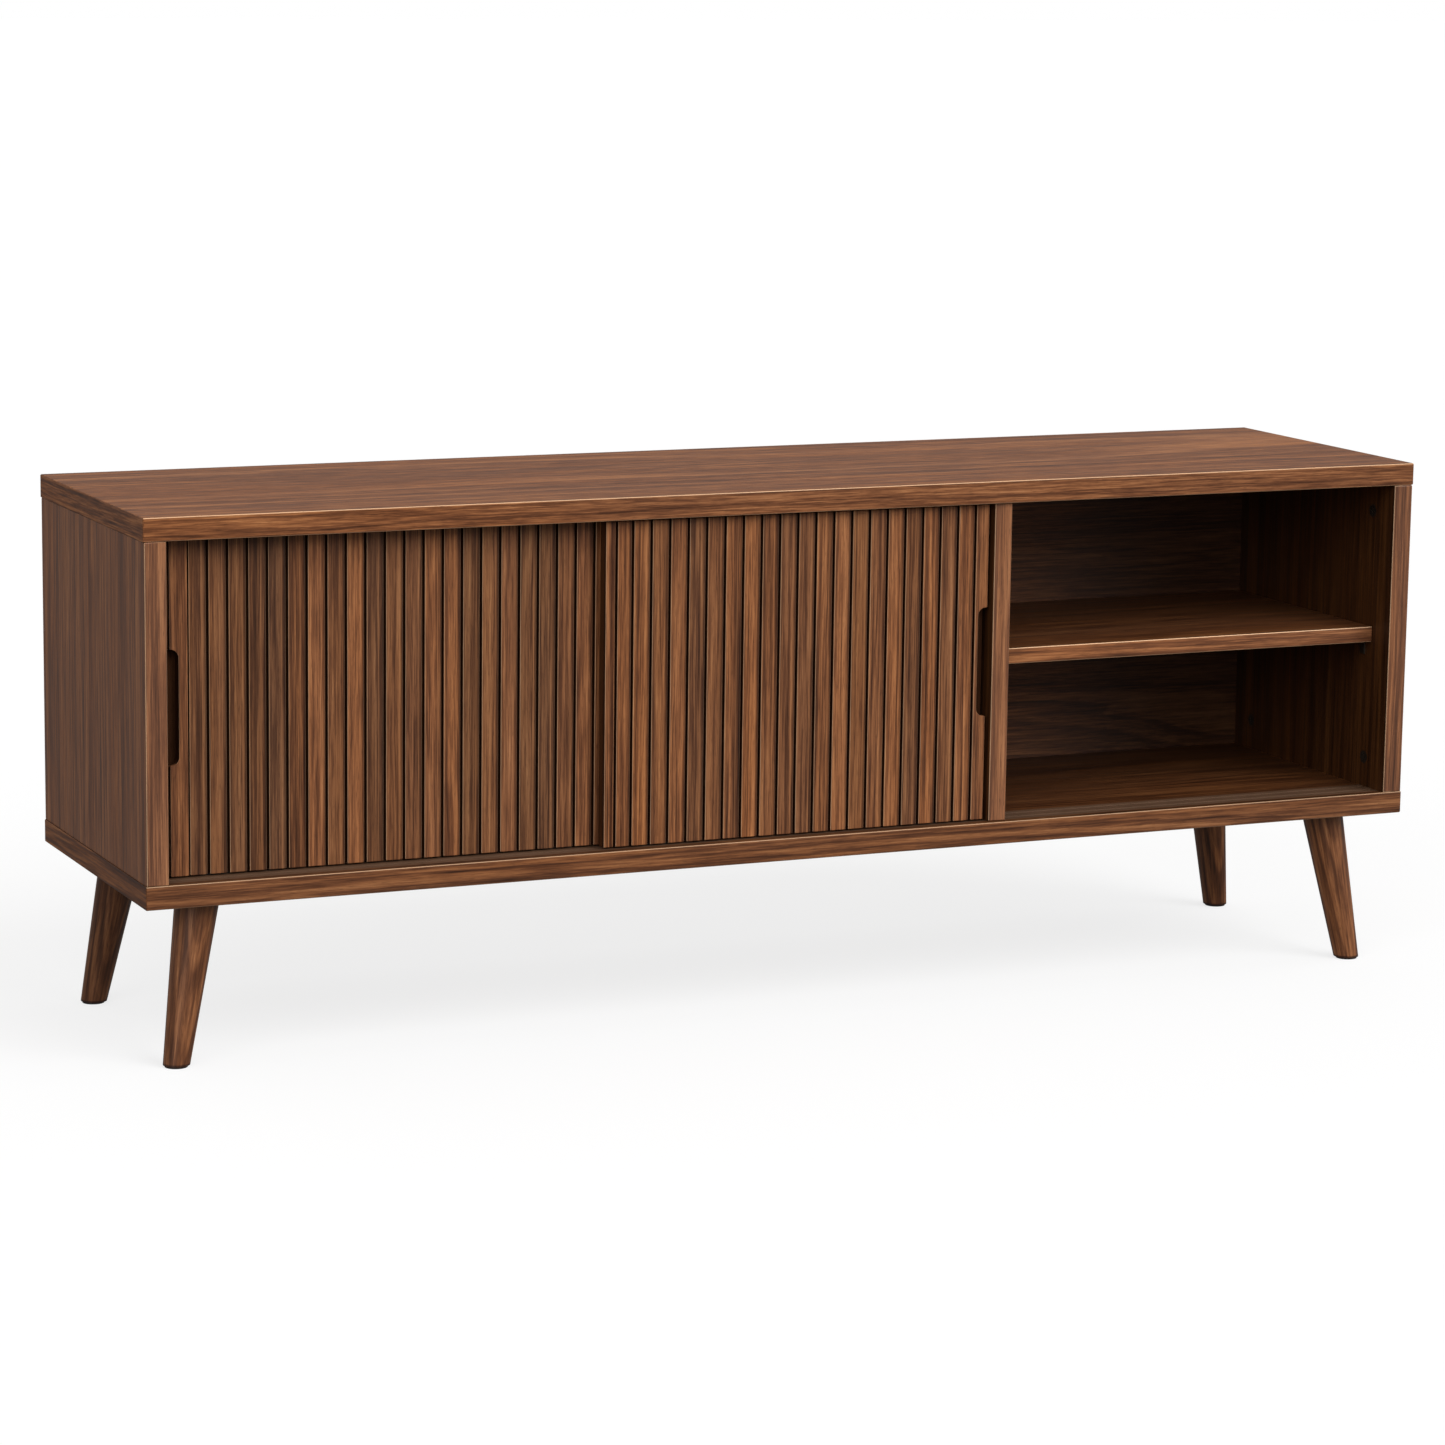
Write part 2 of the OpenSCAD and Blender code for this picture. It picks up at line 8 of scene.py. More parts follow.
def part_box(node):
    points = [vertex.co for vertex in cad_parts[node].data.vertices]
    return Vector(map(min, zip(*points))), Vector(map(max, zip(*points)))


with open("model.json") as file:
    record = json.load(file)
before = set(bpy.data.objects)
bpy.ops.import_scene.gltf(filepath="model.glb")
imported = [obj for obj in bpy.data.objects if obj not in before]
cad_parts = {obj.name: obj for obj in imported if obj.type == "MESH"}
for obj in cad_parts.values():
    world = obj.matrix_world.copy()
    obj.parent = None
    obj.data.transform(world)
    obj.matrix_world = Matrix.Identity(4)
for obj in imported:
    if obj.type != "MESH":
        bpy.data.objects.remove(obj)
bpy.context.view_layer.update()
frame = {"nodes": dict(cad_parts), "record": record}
nodes = frame["nodes"]
mounts = {mount["name"]: mount for mount in frame["record"]["mounts"]}

MM = 0.001

# Rounding of the edges, in metres.
PANEL_EDGE = 1.5 * MM
SLAT_EDGE = 0.9 * MM
FOOT_EDGE = 1.6 * MM

# Points nearer than this are the same point.
SAME_POINT = 0.01 * MM


# ---------------------------------------------------------------- camera

CAMERA_PLACE = (-2.08419, -4.60785, 1.19709)
CAMERA_YAW = math.radians(24.10)
CAMERA_PITCH = math.radians(10.12)
CAMERA_ROLL = math.radians(0.759)
CAMERA_LENS = 114.25
CAMERA_SENSOR = 36
CAMERA_REACH = 60


def add_camera():
    """The camera at the photo's viewing angle."""
    data = bpy.data.cameras.new("camera")
    data.lens = CAMERA_LENS
    data.sensor_width = CAMERA_SENSOR
    data.clip_end = CAMERA_REACH
    camera = bpy.data.objects.new("camera", data)
    bpy.context.scene.collection.objects.link(camera)
    camera.matrix_world = (
        Matrix.Translation(CAMERA_PLACE)
        @ Matrix.Rotation(-CAMERA_YAW, 4, "Z")
        @ Matrix.Rotation(math.pi / 2 - CAMERA_PITCH, 4, "X")
        @ Matrix.Rotation(CAMERA_ROLL, 4, "Z")
    )
    bpy.context.scene.camera = camera


# ---------------------------------------------------------------- shader helpers

class Graph:
    """A material's node tree. Most methods add one node and return its output socket."""

    def __init__(self, name):
        self.material = bpy.data.materials.new(name)
        self.material.use_nodes = True
        self.tree = self.material.node_tree
        self.tree.nodes.clear()
        self.coordinates = self.node("ShaderNodeTexCoord")

    def node(self, kind, **settings):
        """Adds a node and returns it."""
        made = self.tree.nodes.new(kind)
        for key, value in settings.items():
            setattr(made, key, value)
        return made

    def feed(self, socket, value):
        """Links value to the socket if it is a socket itself, or else sets it."""
        if isinstance(value, bpy.types.NodeSocket):
            self.tree.links.new(value, socket)
        else:
            socket.default_value = value

    def math(self, operation, *values):
        made = self.node("ShaderNodeMath", operation=operation)
        for socket, value in zip(made.inputs, values):
            self.feed(socket, value)
        return made.outputs[0]

    def vector(self, operation, *values):
        made = self.node("ShaderNodeVectorMath", operation=operation)
        for socket, value in zip(made.inputs, values):
            self.feed(socket, value)
        return made.outputs["Vector"]

    def split(self, vector):
        made = self.node("ShaderNodeSeparateXYZ")
        self.feed(made.inputs[0], vector)
        return list(made.outputs)

    def join(self, x, y, z):
        made = self.node("ShaderNodeCombineXYZ")
        for socket, value in zip(made.inputs, (x, y, z)):
            self.feed(socket, value)
        return made.outputs[0]

    def noise(self, vector, scale, detail=2.0, roughness=0.5):
        made = self.node("ShaderNodeTexNoise", noise_dimensions="3D")
        self.feed(made.inputs["Vector"], vector)
        made.inputs["Scale"].default_value = scale
        made.inputs["Detail"].default_value = detail
        made.inputs["Roughness"].default_value = roughness
        return made.outputs["Fac"]

    def noise_along(self, value, detail, roughness):
        """Noise that depends on one value only."""
        made = self.node("ShaderNodeTexNoise", noise_dimensions="1D")
        self.feed(made.inputs["W"], value)
        made.inputs["Scale"].default_value = 1.0
        made.inputs["Detail"].default_value = detail
        made.inputs["Roughness"].default_value = roughness
        return made.outputs["Fac"]

    def random(self, value):
        """A random colour, the same for equal values."""
        made = self.node("ShaderNodeTexWhiteNoise", noise_dimensions="1D")
        self.feed(made.inputs["W"], value)
        return made.outputs["Color"]

    def scale_colour(self, colour, factor):
        made = self.node("ShaderNodeVectorMath", operation="SCALE")
        self.feed(made.inputs[0], colour)
        self.feed(made.inputs["Scale"], factor)
        return made.outputs["Vector"]

    def remap(self, value, low, high, to_low=0.0, to_high=1.0, smooth=False):
        """value from low to high made into a value from to_low to to_high, and held beyond."""
        made = self.node("ShaderNodeMapRange", clamp=True)
        made.interpolation_type = "SMOOTHSTEP" if smooth else "LINEAR"
        for socket, number in zip(made.inputs, (value, low, high, to_low, to_high)):
            self.feed(socket, number)
        return made.outputs[0]

    def ramp(self, value, stops):
        """stops is a list of (place, linear colour)."""
        made = self.node("ShaderNodeValToRGB")
        elements = made.color_ramp.elements
        while len(elements) < len(stops):
            elements.new(0.5)
        for element, (place, colour) in zip(elements, stops):
            element.position = place
            element.color = (*colour, 1)
        self.feed(made.inputs[0], value)
        return made.outputs[0]

    def mix(self, share, first, second, blend="MIX"):
        """first where share is 0, second (or the two blended) where it is 1."""
        made = self.node("ShaderNodeMix", data_type="RGBA", blend_type=blend)
        made.clamp_result = False
        # The node's colour sockets are 6 and 7, and its colour output is 2.
        for index, value in ((0, share), (6, first), (7, second)):
            is_colour = isinstance(value, tuple)
            self.feed(made.inputs[index], (*value, 1) if is_colour else value)
        return made.outputs[2]

    def bump(self, height, strength, distance):
        """The normal of a relief that is distance metres high."""
        made = self.node("ShaderNodeBump")
        made.inputs["Strength"].default_value = strength
        made.inputs["Distance"].default_value = distance
        self.feed(made.inputs["Height"], height)
        return made.outputs[0]

    def finish(self, colour, roughness, normal=None, **settings):
        """Ends the tree in a Principled shader and returns the material."""
        shader = self.node("ShaderNodeBsdfPrincipled")
        self.feed(shader.inputs["Base Color"], colour)
        self.feed(shader.inputs["Roughness"], roughness)
        if normal is not None:
            self.feed(shader.inputs["Normal"], normal)
        for name, value in settings.items():
            shader.inputs[name.replace("_", " ")].default_value = value
        output = self.node("ShaderNodeOutputMaterial")
        self.tree.links.new(shader.outputs[0], output.inputs["Surface"])
        return self.material


def srgb(red, green, blue):
    """A linear colour from 0-255 display values."""
    def linear(value):
        share = value / 255
        return share / 12.92 if share <= 0.04045 else ((share + 0.055) / 1.055) ** 2.4
    return tuple(linear(value) for value in (red, green, blue))


# ---------------------------------------------------------------- walnut

WALNUT_DARK = srgb(62, 36, 22)
WALNUT_BROWN = srgb(106, 64, 39)
WALNUT_WARM = srgb(142, 90, 55)
WALNUT_LIGHT = srgb(178, 121, 77)
# The painted highlight on eased edges.
ARRIS_HIGHLIGHT = srgb(232, 190, 150)
# The painted shade in the slats' grooves and round the legs' feet.
PAINTED_SHADE_COLOUR = srgb(42, 21, 11)
WALNUT_STOPS = [(0.10, WALNUT_DARK), (0.40, WALNUT_BROWN), (0.60, WALNUT_WARM), (0.92, WALNUT_LIGHT)]

# Factors on red, green and blue.
COOL_WOOD = (0.94, 0.98, 1.07)
WARM_WOOD = (1.10, 1.02, 0.87)
GREY_SLAT = (0.94, 1.03, 1.16)
YELLOW_SLAT = (1.03, 1.0, 0.93)
# The painted shade on each slat's right-hand edge.
SLAT_PAINTED_SHADE = (0.35, 0.31, 0.28)

# The darkest and the lightest slat's tone.
SLAT_TONES = (0.64, 1.10)

# Shares of the pitch, from a slat's left edge: where its painted highlight line may lie, its half
# width, and between which places its right-hand edge darkens with painted shade.
HIGHLIGHT_PLACES = (0.66, 0.78)
HIGHLIGHT_REACH = 0.045
SHADE_PLACES = (0.74, 0.90)

# How many streaks, fibres and pores lie side by side in a metre across the grain.
STREAKS = 280.0
FIBRES = 620.0
PORES = 1500.0

# How far the rings sway off their circles, in metres, and how much they drift for each metre along.
SLOW_SWAY = 0.075
QUICK_SWAY = 0.011
RUN_OUT = 0.010

# Where in the wood the veneer of the ends and of the front edges is taken from.
END_PLACE = (0.31, 0.17, 0.53)
FRONT_ACROSS = 0.23
FRONT_ALONG = 1.7

# Shares of a ring: its dark late wood builds up between the first two and ends at the ring's end.
LATE_FROM = 0.5
LATE_FULL = 0.96
LATE_WEIGHT = 0.08

# The painted shade fades over these widths, in the slats' grooves and round a foot.
GROOVE_SHADE_FADE = 1.2 * MM
FOOT_SHADE_FADE = 1.5 * MM

# A face looks along an axis where that part of its normal is over this.
FACING = 0.8


class Walnut(Graph):
    """Walnut as a solid: annual rings round a pith line, cut by the piece's faces."""

    def __init__(self, name, grain, seed, lean=None):
        """Grain along X or Z. lean is how far the grain runs off in X and Y for each metre up."""
        super().__init__(name)
        self.grain = grain
        spot = self.coordinates.outputs["Object"]
        self.place = self.split(spot)
        x, y, z = self.place
        if lean:
            x = self.math("SUBTRACT", x, self.math("MULTIPLY", z, lean[0]))
            y = self.math("SUBTRACT", y, self.math("MULTIPLY", z, lean[1]))
        self.facing = self.split(self.coordinates.outputs["Normal"])
        self.turned = [self.math("ABSOLUTE", value) for value in self.facing]
        order = {"X": (y, z, x), "Z": (x, y, z)}[grain]
        self.axes = self.vector("ADD", self.join(*order), tuple(seed))

    def shift(self, across, deep, along):
        """Moves the place in the wood that the colour is taken from."""
        self.axes = self.vector("ADD", self.axes, self.join(across, deep, along))

    def stretch(self, across, along):
        """The place in the wood, scaled across and along the grain."""
        return self.vector("MULTIPLY", self.axes, (across, across, along))

    def split_faces(self):
        """Gives ends and front edges strips of veneer of their own, as edge banding has."""
        x, y, z = self.place
        banded = {"X": (z, x, y), "Z": (y, z, x)}[self.grain]
        banding = self.vector("ADD", self.join(*banded), END_PLACE)
        end = self.math("GREATER_THAN", self.turned["XYZ".index(self.grain)], FACING)
        swap = self.node("ShaderNodeMix", data_type="VECTOR")
        # The node's vector sockets are 4 and 5, and its vector output is 1.
        for index, value in ((0, end), (4, self.axes), (5, banding)):
            self.feed(swap.inputs[index], value)
        self.axes = swap.outputs[1]
        front = self.math("GREATER_THAN", self.turned[1], FACING)
        self.shift(self.math("MULTIPLY", front, FRONT_ACROSS), 0.0,
                   self.math("MULTIPLY", front, FRONT_ALONG))

    def figure(self, rings, pith, wave):
        """The ring pattern, 0 to 1. rings is how many to a metre, pith its line's place."""
        slow = self.weigh(self.noise(self.stretch(5.0, 1.1), 1.0, 2.0), SLOW_SWAY * wave)
        quick = self.weigh(self.noise(self.stretch(32.0, 3.4), 1.0, 2.0), QUICK_SWAY * wave)
        sway = self.math("ADD", slow, quick)
        across, deep, along = self.split(self.axes)
        across = self.math("SUBTRACT", across, pith[0])
        deep = self.math("SUBTRACT", deep, pith[1])
        square = self.math("ADD", self.math("MULTIPLY", across, across),
                           self.math("MULTIPLY", deep, deep))
        distance = self.math("ADD", self.math("SQRT", square), sway)
        distance = self.math("ADD", distance, self.math("MULTIPLY", along, RUN_OUT * wave))
        self.shift(self.math("MULTIPLY", sway, 0.4), 0.0, 0.0)
        turns = self.math("MULTIPLY", distance, rings)
        streaks = self.noise_along(turns, 4.0, 0.6)
        part = self.math("FRACT", turns)
        late = self.math("MULTIPLY", self.remap(part, LATE_FROM, LATE_FULL, smooth=True),
                         self.remap(part, LATE_FULL, 1.0, 1.0, 0.0))
        return self.math("SUBTRACT", streaks, self.math("MULTIPLY", late, LATE_WEIGHT))

    def weigh(self, value, weight):
        """value about 0.5, swung by weight about 0."""
        return self.math("MULTIPLY", self.math("SUBTRACT", value, 0.5), weight)

    def tint(self, mask, colour, factors):
        """colour times factors where mask is 1."""
        return self.mix(mask, colour, self.mix(1.0, colour, factors, "MULTIPLY"))

    def pick_slats(self, start, pitch, lot):
        """Takes each slat from a place of its own in the wood. lot is the first slat's draw."""
        self.slat = self.math("DIVIDE", self.math("SUBTRACT", self.place[0], start), pitch)
        drawn = self.random(self.math("ADD", self.math("FLOOR", self.slat), lot))
        self.shade, self.hue, self.turn = self.split(drawn)
        self.shift(self.math("MULTIPLY", self.shade, 0.9), self.math("MULTIPLY", self.hue, 0.4),
                   self.math("MULTIPLY", self.turn, 7.0))

    def colour_slats(self, colour):
        """Gives each slat its own tone, a painted highlight line and painted shade on its right-hand
        edge.
        """
        colour = self.scale_colour(colour, self.remap(self.turn, 0.0, 1.0, *SLAT_TONES))
        colour = self.tint(self.remap(self.turn, 0.0, 0.6, 1.0, 0.0), colour, GREY_SLAT)
        colour = self.tint(self.shade, colour, YELLOW_SLAT)
        across = self.math("FRACT", self.slat)
        middle = self.remap(self.hue, 0.0, 1.0, *HIGHLIGHT_PLACES)
        off = self.math("ABSOLUTE", self.math("SUBTRACT", across, middle))
        painted_highlight = self.remap(off, 0.0, HIGHLIGHT_REACH, 0.28, 0.0, smooth=True)
        colour = self.mix(painted_highlight, colour, WALNUT_LIGHT)
        return self.tint(self.remap(across, *SHADE_PLACES, smooth=True), colour, SLAT_PAINTED_SHADE)

    def paint_edge_highlights(self, colour, share, faces):
        """Paints highlights on the eased edges between the faces YZ or XY, most of all on those the
        light meets.
        """
        first, second = (self.turned["XYZ".index(letter)] for letter in faces)
        eased = self.remap(self.math("MINIMUM", first, second), 0.25, 0.6, smooth=True)
        if faces == "YZ":
            lit = self.remap(self.facing[2], -0.5, 0.3, 0.45, 1.0)
        else:
            lit = self.remap(self.facing[0], -0.3, 0.3, 1.0, 0.35)
        mask = self.math("MULTIPLY", self.math("MULTIPLY", eased, lit), share)
        return self.mix(mask, colour, ARRIS_HIGHLIGHT)

    def shade_grooves(self, colour, depth):
        """Paints shade on the sides of the slats behind the Y depth."""
        deep = self.remap(self.place[1], depth, depth + GROOVE_SHADE_FADE)
        sideways = self.math("GREATER_THAN", self.turned[0], 0.6)
        return self.mix(self.math("MULTIPLY", deep, sideways), colour, PAINTED_SHADE_COLOUR)

    def shade_foot(self, colour, height):
        """Paints shade on a leg below the Z height, round its foot."""
        mask = self.remap(self.place[2], height, height + FOOT_SHADE_FADE, 0.85, 0.0)
        return self.mix(mask, colour, PAINTED_SHADE_COLOUR)


def walnut(
    name, grain="X", seed=(0, 0, 0), rings=90, pith=(0.0, -0.35), wave=1.0, figured=0.8, streaky=1.0,
    fibrous=0.7, runs=7.0, tone=1.0, level=0.2, gloss=0.45, arris_highlight=0.0, arris_faces="YZ", banded=True,
    painted_shade=None, slats=None, groove_shade_depth=None, lean=None, foot_shade_height=None,
):
    """One walnut finish.

    grain, seed and lean are the wood's direction and place, as in Walnut. rings is how many annual
    rings there are to a metre, pith their centre line and wave how much they sway.
    figured, streaky and fibrous weigh the rings, the broad streaks and the fine fibres, and runs is
    how many broad streaks follow each other in a metre.
    tone scales the colour, level is the shader's specular level and gloss its roughness.
    arris is how strong the painted highlight on the eased edges between the two arris_faces is.
    banded gives ends and front edges strips of veneer of their own.
    lined is a function that takes the graph and returns a mask and the factors of painted shade there.
    slats is (start, pitch, lot) of slats side by side, as in pick_slats.
    groove_shade_depth and foot_shade_height are where the painted shade of the slats' sides and of a
    leg begins.
    """
    g = Walnut(name, grain, seed, lean)
    if banded:
        g.split_faces()
    if slats:
        g.pick_slats(*slats)
    value = g.math("ADD", g.weigh(g.figure(rings, pith, wave), figured), 0.5)
    broad = g.noise(g.stretch(STREAKS, runs), 1.0, 3.0, 0.62)
    fine = g.noise(g.stretch(FIBRES, 4 * runs), 1.0, 3.0, 0.65)
    pores = g.remap(g.noise(g.stretch(PORES, 90.0), 1.0, 1.0), 0.60, 0.70)
    value = g.math("ADD", value, g.weigh(broad, streaky))
    value = g.math("ADD", value, g.weigh(fine, fibrous))
    if slats:
        value = g.math("ADD", value, g.weigh(g.hue, 0.16))
    drift = g.remap(g.noise(g.stretch(16.0, 1.3), 1.0, 2.0), 0.35, 0.7)
    cool = g.mix(1.0, g.ramp(value, WALNUT_STOPS), COOL_WOOD, "MULTIPLY")
    colour = g.tint(drift, cool, WARM_WOOD)
    colour = g.mix(g.math("MULTIPLY", pores, 0.4), colour, WALNUT_DARK)
    # Painted highlight and painted shade across each slat.
    if slats:
        colour = g.colour_slats(colour)
    # Painted highlights on the eased edges.
    if arris_highlight:
        colour = g.paint_edge_highlights(colour, arris_highlight, arris_faces)
    # Painted shade in the slats' grooves and round a leg's foot.
    if groove_shade_depth is not None:
        colour = g.shade_grooves(colour, groove_shade_depth)
    if foot_shade_height is not None:
        colour = g.shade_foot(colour, foot_shade_height)
    # Painted shade on the inner faces and the back panel.
    if painted_shade:
        mask, factors = painted_shade(g)
        colour = g.tint(mask, colour, factors)
    if tone != 1.0:
        colour = g.scale_colour(colour, tone)
    height = g.math("SUBTRACT", g.math("MULTIPLY", fine, 0.5), g.math("MULTIPLY", pores, 0.5))
    roughness = g.math("ADD", g.weigh(broad, 0.3), gloss)
    return g.finish(colour, roughness, g.bump(height, 0.3, 0.15 * MM), Specular_IOR_Level=level)


# ---------------------------------------------------------------- metal, plastic, rubber

MOULD_GRAIN = 0.5 * MM


def metal(name, colour, roughness):
    """Plated steel with a faint crystal mottle and fine scratches."""
    g = Graph(name)
    spot = g.coordinates.outputs["Object"]
    mottle = g.noise(spot, 900.0, 3.0, 0.6)
    scratch = g.noise(g.vector("MULTIPLY", spot, (3000.0, 300.0, 3000.0)), 1.0, 2.0)
    tint = g.mix(g.remap(mottle, 0.3, 0.7), tuple(part * 0.82 for part in colour), colour)
    rough = g.math("ADD", g.math("MULTIPLY", mottle, 0.2), roughness - 0.1)
    normal = g.bump(scratch, 0.15, 0.05 * MM)
    return g.finish(tint, rough, normal, Metallic=1.0)


def moulded(name, colour, roughness):
    """Moulded plastic or rubber with a fine spark-eroded texture."""
    g = Graph(name)
    spot = g.coordinates.outputs["Object"]
    texture = g.noise(spot, 1 / MOULD_GRAIN, 3.0, 0.6)
    cloud = g.noise(spot, 25.0, 2.0)
    tint = g.mix(g.remap(cloud, 0.3, 0.7), tuple(part * 0.85 for part in colour), colour)
    rough = g.math("ADD", g.math("MULTIPLY", cloud, 0.16), roughness - 0.08)
    return g.finish(tint, rough, g.bump(texture, 0.3, 0.08 * MM), Specular_IOR_Level=0.4)


def beech():
    """Raw beech of the dowels."""
    g = Graph("beech")
    spot = g.coordinates.outputs["Object"]
    flecks = g.noise(spot, 900.0, 3.0)
    colour = g.mix(g.remap(flecks, 0.3, 0.7), srgb(196, 158, 116), srgb(222, 188, 148))
    return g.finish(colour, 0.6, g.bump(flecks, 0.2, 0.1 * MM))


# ---------------------------------------------------------------- shapes of the edges

def round_edges(node, width, segments=2, corners_only=False):
    """Eases the sharp edges of a CAD node with modifiers, which leave its mesh as it is.

    corners_only takes just the edges between the corners of the node's box, and so leaves the
    small holes in a panel alone.
    """
    weld = node.modifiers.new("weld", "WELD")
    weld.merge_threshold = SAME_POINT
    flat = node.modifiers.new("flat faces", "DECIMATE")
    flat.decimate_type = "DISSOLVE"
    flat.angle_limit = math.radians(0.5)
    bevel = node.modifiers.new("eased edges", "BEVEL")
    bevel.width = width
    bevel.segments = segments
    bevel.use_clamp_overlap = not corners_only
    bevel.limit_method = "ANGLE"
    bevel.angle_limit = math.radians(30)
    if corners_only:
        low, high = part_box(node.name)
        group = node.vertex_groups.new(name="box corners")
        for vertex in node.data.vertices:
            off = [min(abs(vertex.co[i] - low[i]), abs(vertex.co[i] - high[i])) for i in range(3)]
            if max(off) < SAME_POINT:
                group.add([vertex.index], 1.0, "REPLACE")
        bevel.limit_method = "VGROUP"
        bevel.vertex_group = group.name
    normals = node.modifiers.new("normals", "WEIGHTED_NORMAL")
    normals.keep_sharp = False
    normals.weight = 100


# ---------------------------------------------------------------- the cabinet

def paint(names, material):
    """Gives the CAD nodes a material."""
    for name in names:
        nodes[name].material_slots[0].material = material


# Factors on the colour of the inner faces: painted shade, which makes the bays
# darker inside than the lights make them.
TOP_PAINTED_SHADE = (0.50, 0.46, 0.40)
FLOOR_PAINTED_SHADE = (0.51, 0.47, 0.39)
SHELF_PAINTED_SHADE = (0.48, 0.46, 0.42)
BAY_PAINTED_SHADE = (0.26, 0.22, 0.12)

# A face takes its painted shade between these parts of the normal, so that the eased edges stay light.
SHADED_FROM = 0.75
SHADED_FULLY = 0.95

# Painted shade: the back panel darkens from one distance to the other from its right end, in metres.
BACK_LIGHT_UNTIL = 0.42
BACK_DARK_FROM = 0.15
BACK_DARKEST = 0.27


# Painted shade on the underside of the top panel.
def facing_down(g):
    return g.remap(g.facing[2], -SHADED_FROM, -SHADED_FULLY), TOP_PAINTED_SHADE


# Painted shade on the upper face of the bottom panel.
def facing_up(g):
    return g.remap(g.facing[2], SHADED_FROM, SHADED_FULLY), FLOOR_PAINTED_SHADE


# Painted shade on both faces of the shelves.
def facing_up_or_down(g):
    return g.remap(g.turned[2], SHADED_FROM, SHADED_FULLY), SHELF_PAINTED_SHADE


def facing_front(g):
    """The front face of the back panel, with painted shade darker towards the right end."""
    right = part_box("back_panel")[1].x
    mask = g.remap(g.facing[1], -SHADED_FROM, -SHADED_FULLY)
    shade = g.remap(g.place[0], right - BACK_LIGHT_UNTIL, right - BACK_DARK_FROM,
                    1.0, BACK_DARKEST, smooth=True)
    return mask, g.join(shade, shade, shade)


def facing_bays(g):
    """Painted shade on the uprights' faces that look into the bays, not on the sides' outer faces."""
    low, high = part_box("left_side")
    outer = (abs(low.x) + abs(high.x)) / 2
    sideways = g.remap(g.turned[0], SHADED_FROM, SHADED_FULLY)
    within = g.math("LESS_THAN", g.math("ABSOLUTE", g.place[0]), outer)
    return g.math("MULTIPLY", sideways, within), BAY_PAINTED_SHADE


def make_case():
    """Panels, uprights, shelves and back."""
    panels = ["top_panel", "bottom_panel"]
    uprights = ["left_side", "right_side", "divider", "partition"]
    shelves = ["left_shelf", "middle_shelf", "right_shelf"]
    top = walnut("walnut_top", "X", (0.0, 0.0, 0.4), pith=(0.05, 0.32), wave=0.6, figured=0.7,
                 fibrous=1.1, runs=6.5, tone=1.04, level=0.13, arris_highlight=0.8, painted_shade=facing_down)
    # The bottom panel's lower tone is painted shade.
    bottom = walnut("walnut_bottom", "X", (0.35, 0.1, 2.2), pith=(0.1, -0.3), streaky=1.3,
                    tone=0.78, arris_highlight=0.7, painted_shade=facing_up)
    shelf = walnut("walnut_shelf", "X", (0.7, 0.2, 5.1), streaky=1.4, tone=1.12, arris_highlight=1.0,
                   painted_shade=facing_up_or_down)
    upright = walnut("walnut_upright", "Z", (0.1, 0.4, 1.3), rings=60, wave=0.7, figured=0.7,
                     fibrous=0.85, runs=4.0, level=0.42, arris_highlight=0.5, arris_faces="XY",
                     painted_shade=facing_bays)
    back = walnut("walnut_back", "X", (0.2, 0.9, 3.3), rings=60, wave=2.4, figured=0.9, level=0.3,
                  banded=False, painted_shade=facing_front)
    paint(["top_panel"], top)
    paint(["bottom_panel"], bottom)
    paint(shelves, shelf)
    paint(uprights, upright)
    paint(["back_panel"], back)
    for name in panels + uprights:
        round_edges(nodes[name], PANEL_EDGE, corners_only=True)
    for name in shelves:
        round_edges(nodes[name], PANEL_EDGE)


SLAT_PITCH = 21.4 * MM
SLAT_GAP = 3.0 * MM
FIRST_LOT = 40.0
LOTS_TO_NEXT_DOOR = 130

# Where the painted shade begins behind the slats' faces, and where it ends above a leg's foot.
GROOVE_SHADE_DEPTH = 0.6 * MM
FOOT_SHADE_HEIGHT = 3.5 * MM


def make_doors():
    """Slats and stiles, each slat its own tone, on boards kept dark as painted shade in the grooves.
    """
    # The board's low tone is painted shade in the grooves between the slats.
    board = walnut("walnut_board", "Z", (0.3, 0.5, 0.2), figured=0.2, streaky=0.3, fibrous=0.2,
                   tone=0.28, level=0.05, gloss=0.7, banded=False)
    for number, side in enumerate(("left", "right")):
        low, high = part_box(f"{side}_door_slats")
        start = low.x - SLAT_GAP / 2 if side == "left" else high.x + SLAT_GAP / 2
        grain = {
            "wave": 0.4, "figured": 0.7, "streaky": 1.05, "fibrous": 1.0, "runs": 4.5, "banded": False,
            "arris_highlight": 0.5, "arris_faces": "XY", "groove_shade_depth": low.y + GROOVE_SHADE_DEPTH,
        }
        slats = walnut(f"walnut_slats_{side}", "Z", (0.2, 0.1, 0.3), rings=170,
                       slats=(start, SLAT_PITCH, FIRST_LOT + LOTS_TO_NEXT_DOOR * number), **grain)
        stile = walnut(f"walnut_stile_{side}", "Z", (0.6 + number, 0.3, 0.9), rings=140, **grain)
        paint([f"{side}_door_board"], board)
        paint([f"{side}_door_slats"], slats)
        paint([f"{side}_door_stile"], stile)
        for piece in ("slats", "stile"):
            round_edges(nodes[f"{side}_door_{piece}"], SLAT_EDGE)


